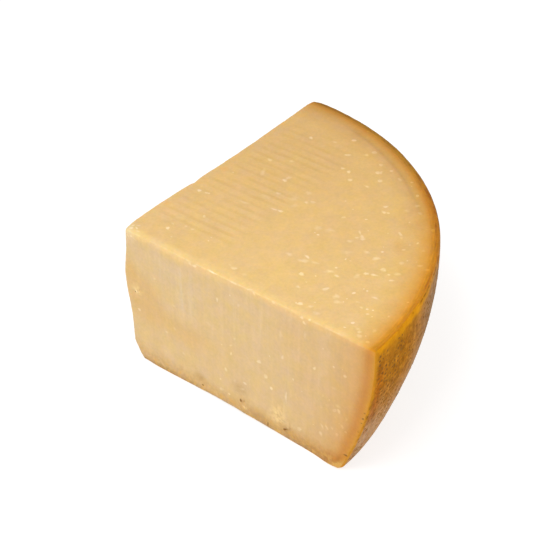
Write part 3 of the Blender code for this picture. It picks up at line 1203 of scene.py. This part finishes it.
def crystalMaterial():
    # the paste beneath it, turning paler towards the middle of each crystal
    material, start = newMaterial("pale crystal")
    place = placeFromTip(start)
    at = regionsOf(place)
    clear = noise(place, 160, 2, 56)
    share = rise(riseOf(place), 0, 0.85) * between(rise(clear, -0.22, 0.16), 0.35, 1)
    tint = mixed(at.onSides, cheeseColours["crystalOnTop"], cheeseColours["crystalOnSides"])
    colour = washed(pasteColour(at), share, tint)
    normal = bumped(noise(place, 1300, 2, 57), 0.0001)
    closeMaterial(surface(colour, 0.4 + clear * 0.2, normal, {"Specular IOR Level": 0.14}))
    return material


def buildCrystals(piece):
    material = crystalMaterial()
    crystals = scatterCrystals(piece, material)
    addBoldCrystals(crystals, piece)
    crystals.data.shade_flat()
    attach(crystals, "root")
    print("crystals:", len(crystals.data.polygons), "faces")


# Pin marks: rows of small dark pricks all round the rind, in patches and saying nothing.

pinSizes = {
    "Columns": 94,
    "Rows": 28,
    "Lowest": 0.005,
    "Below top": 0.0075,
    "First place": 0.015,  # as a share of the sector
    "Reach": 0.97,
    "Radius": 0.00105,
    "Least size": 0.45,  # shares of the radius
    "Most size": 1.2,
    "Tallness": 1.15,
    "Flatness": 0.1,
    "Jitter": 0.00065,
    "Thin share": 0.06,  # how many of the places are filled between the patches
    "Patch share": 0.8,  # and how many more in them
    "Middle height": 0.1075,
    "Seed": 3,
    "Tip place": tip,
    **wheel,
}


def buildPins(piece):
    tree, start, given = newTree("pin marks", pinSizes)
    sizes = {"Size X": 1, "Size Y": 1, "Vertices X": given["Columns"], "Vertices Y": given["Rows"]}
    grid = start.add("GeometryNodeMeshGrid", {}, sizes, "Mesh")
    here = start.add("GeometryNodeInputPosition")
    across, up, above = split(here)
    angle = (across + 0.5) * given["Reach"] * given["Sector"] + given["Sector"] * given["First place"]
    x, y = cosine(angle), sine(angle)
    radius = given["Wheel radius"]
    tall = topHeight(x * radius, y * radius, given) - given["Below top"] - given["Lowest"]
    z = given["Lowest"] + (up + 0.5) * tall
    out = barrelRadius(z, given)
    grid = moveTo(grid, join(start, x * out, y * out, z))
    grid = moveBy(grid, scaled(random(start, (-1,) * 3, (1,) * 3, given["Seed"]), given["Jitter"]))
    grid = moveBy(grid, given["Tip place"])
    grid = moveTo(grid, nearestOn(given["Geometry"], here))
    place = vectors("SUBTRACT", here, given["Tip place"])
    px, py, pz = split(place)
    patches = noise(join(start, px, py, pz * 0.35), 60, 2, 61) + noise(place, 14, 1, 62) * 0.4
    patches = patches + fade(py, 0.01, 0.06) * 0.09
    filled = rise(patches, -0.08, 0.06) * given["Patch share"] + given["Thin share"]
    kept = start.maths("LESS_THAN", random(start, 0, 1, 4), filled)
    wide = given["Radius"] * random(start, given["Least size"], given["Most size"], 5)
    outwards = join(start, px, py, (pz - given["Middle height"]) * 0.9)
    rotation = start.add("FunctionNodeAlignRotationToVector", {"axis": "Z"}, {"Vector": outwards})
    sizes = {"Vertices": 8, "Side Segments": 1, "Radius Top": 0.6, "Radius Bottom": 1, "Depth": 1}
    values = {
        "Points": grid,
        "Selection": kept,
        "Instance": keepRise(start.add("GeometryNodeMeshCone", {}, sizes, "Mesh"), atLeast(above, 0)),
        "Rotation": rotation,
        "Scale": join(start, wide, wide * given["Tallness"], wide * given["Flatness"]),
    }
    marks = start.add("GeometryNodeInstanceOnPoints", {}, values)
    material = pinMaterial()
    finishTree(tree, marks, material)
    pins = runTree("pinMarks", piece.data.copy(), tree, pinSizes, material)
    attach(pins, "root")
    print("pin marks:", len(pins.data.polygons), "faces")


def pinMaterial():
    material, start = newMaterial("pin mark")
    place = placeFromTip(start)
    shade = noise(place, 300, 2, 63)
    colour = mixed(rise(shade, -0.2, 0.2), rindColours["pinDark"], rindColours["pinPale"])
    colour = mixed(rise(riseOf(place), 0.1, 0.9), rindColours["pinRim"], colour)
    closeMaterial(surface(colour, 0.6 + shade * 0.2, bumped(shade, 0.0002), {"Specular IOR Level": 0}))
    return material


# Floor, light and camera

stageSettings = {
    "floorHalf": 3.0,
    "floorGap": 0.0002,  # below the base
    "floorTone": 0.42,
    "floorGlow": 0.72,
    "skyStrength": 0.7,
    "boxPlace": Vector((0.05, -0.62, 1.28)),  # of the soft box, from the middle of the base
    "boxAim": Vector((0.0, 0.0, 0.06)),
    "boxSize": 0.5,
    "boxPower": 6.0,
}
cameraSettings = {
    "azimuth": 39.45,
    "tilt": 52.39,  # up from looking straight down
    "roll": 0.2456,
    "distance": 1.1449,
    "lens": 107.5,
    "sensor": 36.0,
    "target": Vector((0.077, 0.071, 0.0588)),  # from the tip
}


def buildFloor():
    half, level = stageSettings["floorHalf"], low.z - stageSettings["floorGap"]
    corners = [(x * half, y * half, level) for x, y in ((-1, -1), (1, -1), (1, 1), (-1, 1))]
    mesh = bpy.data.meshes.new("floor")
    mesh.from_pydata(corners, [], [(0, 1, 2, 3)])
    material, start = newMaterial("pale floor")
    values = {
        "Base Color": (*(stageSettings["floorTone"],) * 3, 1.0),
        "Roughness": 0.9,
        "Specular IOR Level": 0.0,
        "Emission Color": (*white, 1.0),
        "Emission Strength": stageSettings["floorGlow"],
    }
    closeMaterial(start.add("ShaderNodeBsdfPrincipled", {}, values))
    mesh.materials.append(material)
    newObject("floor", mesh)


def buildLights():
    world = bpy.data.worlds.new("studio")
    world.use_nodes = True
    background = world.node_tree.nodes["Background"]
    background.inputs["Color"].default_value = (*white, 1)
    background.inputs["Strength"].default_value = stageSettings["skyStrength"]
    bpy.context.scene.world = world
    data = bpy.data.lights.new("soft box", "AREA")
    data.shape = "SQUARE"
    data.size = stageSettings["boxSize"]
    data.energy = stageSettings["boxPower"]
    light = newObject("soft box", data)
    light.location = stageSettings["boxPlace"]
    way = stageSettings["boxAim"] - stageSettings["boxPlace"]
    light.rotation_euler = way.to_track_quat("-Z", "Y").to_euler()


def buildCamera():
    turned = Matrix.Identity(4)
    for name, axis in (("azimuth", "Z"), ("tilt", "X"), ("roll", "Z")):
        turned = turned @ Matrix.Rotation(math.radians(cameraSettings[name]), 4, axis)
    data = bpy.data.cameras.new("camera")
    data.lens = cameraSettings["lens"]
    data.sensor_width = cameraSettings["sensor"]
    camera = newObject("camera", data)
    back = turned.col[2].to_3d() * cameraSettings["distance"]
    camera.matrix_world = Matrix.Translation(tip + cameraSettings["target"] + back) @ turned
    bpy.context.scene.camera = camera


bpy.context.scene.view_settings.view_transform = "Standard"
buildCamera()
buildFloor()
buildLights()
print("stage ready")
chunk = buildChunk(cheeseMaterial())
buildCrystals(chunk)
buildPins(chunk)
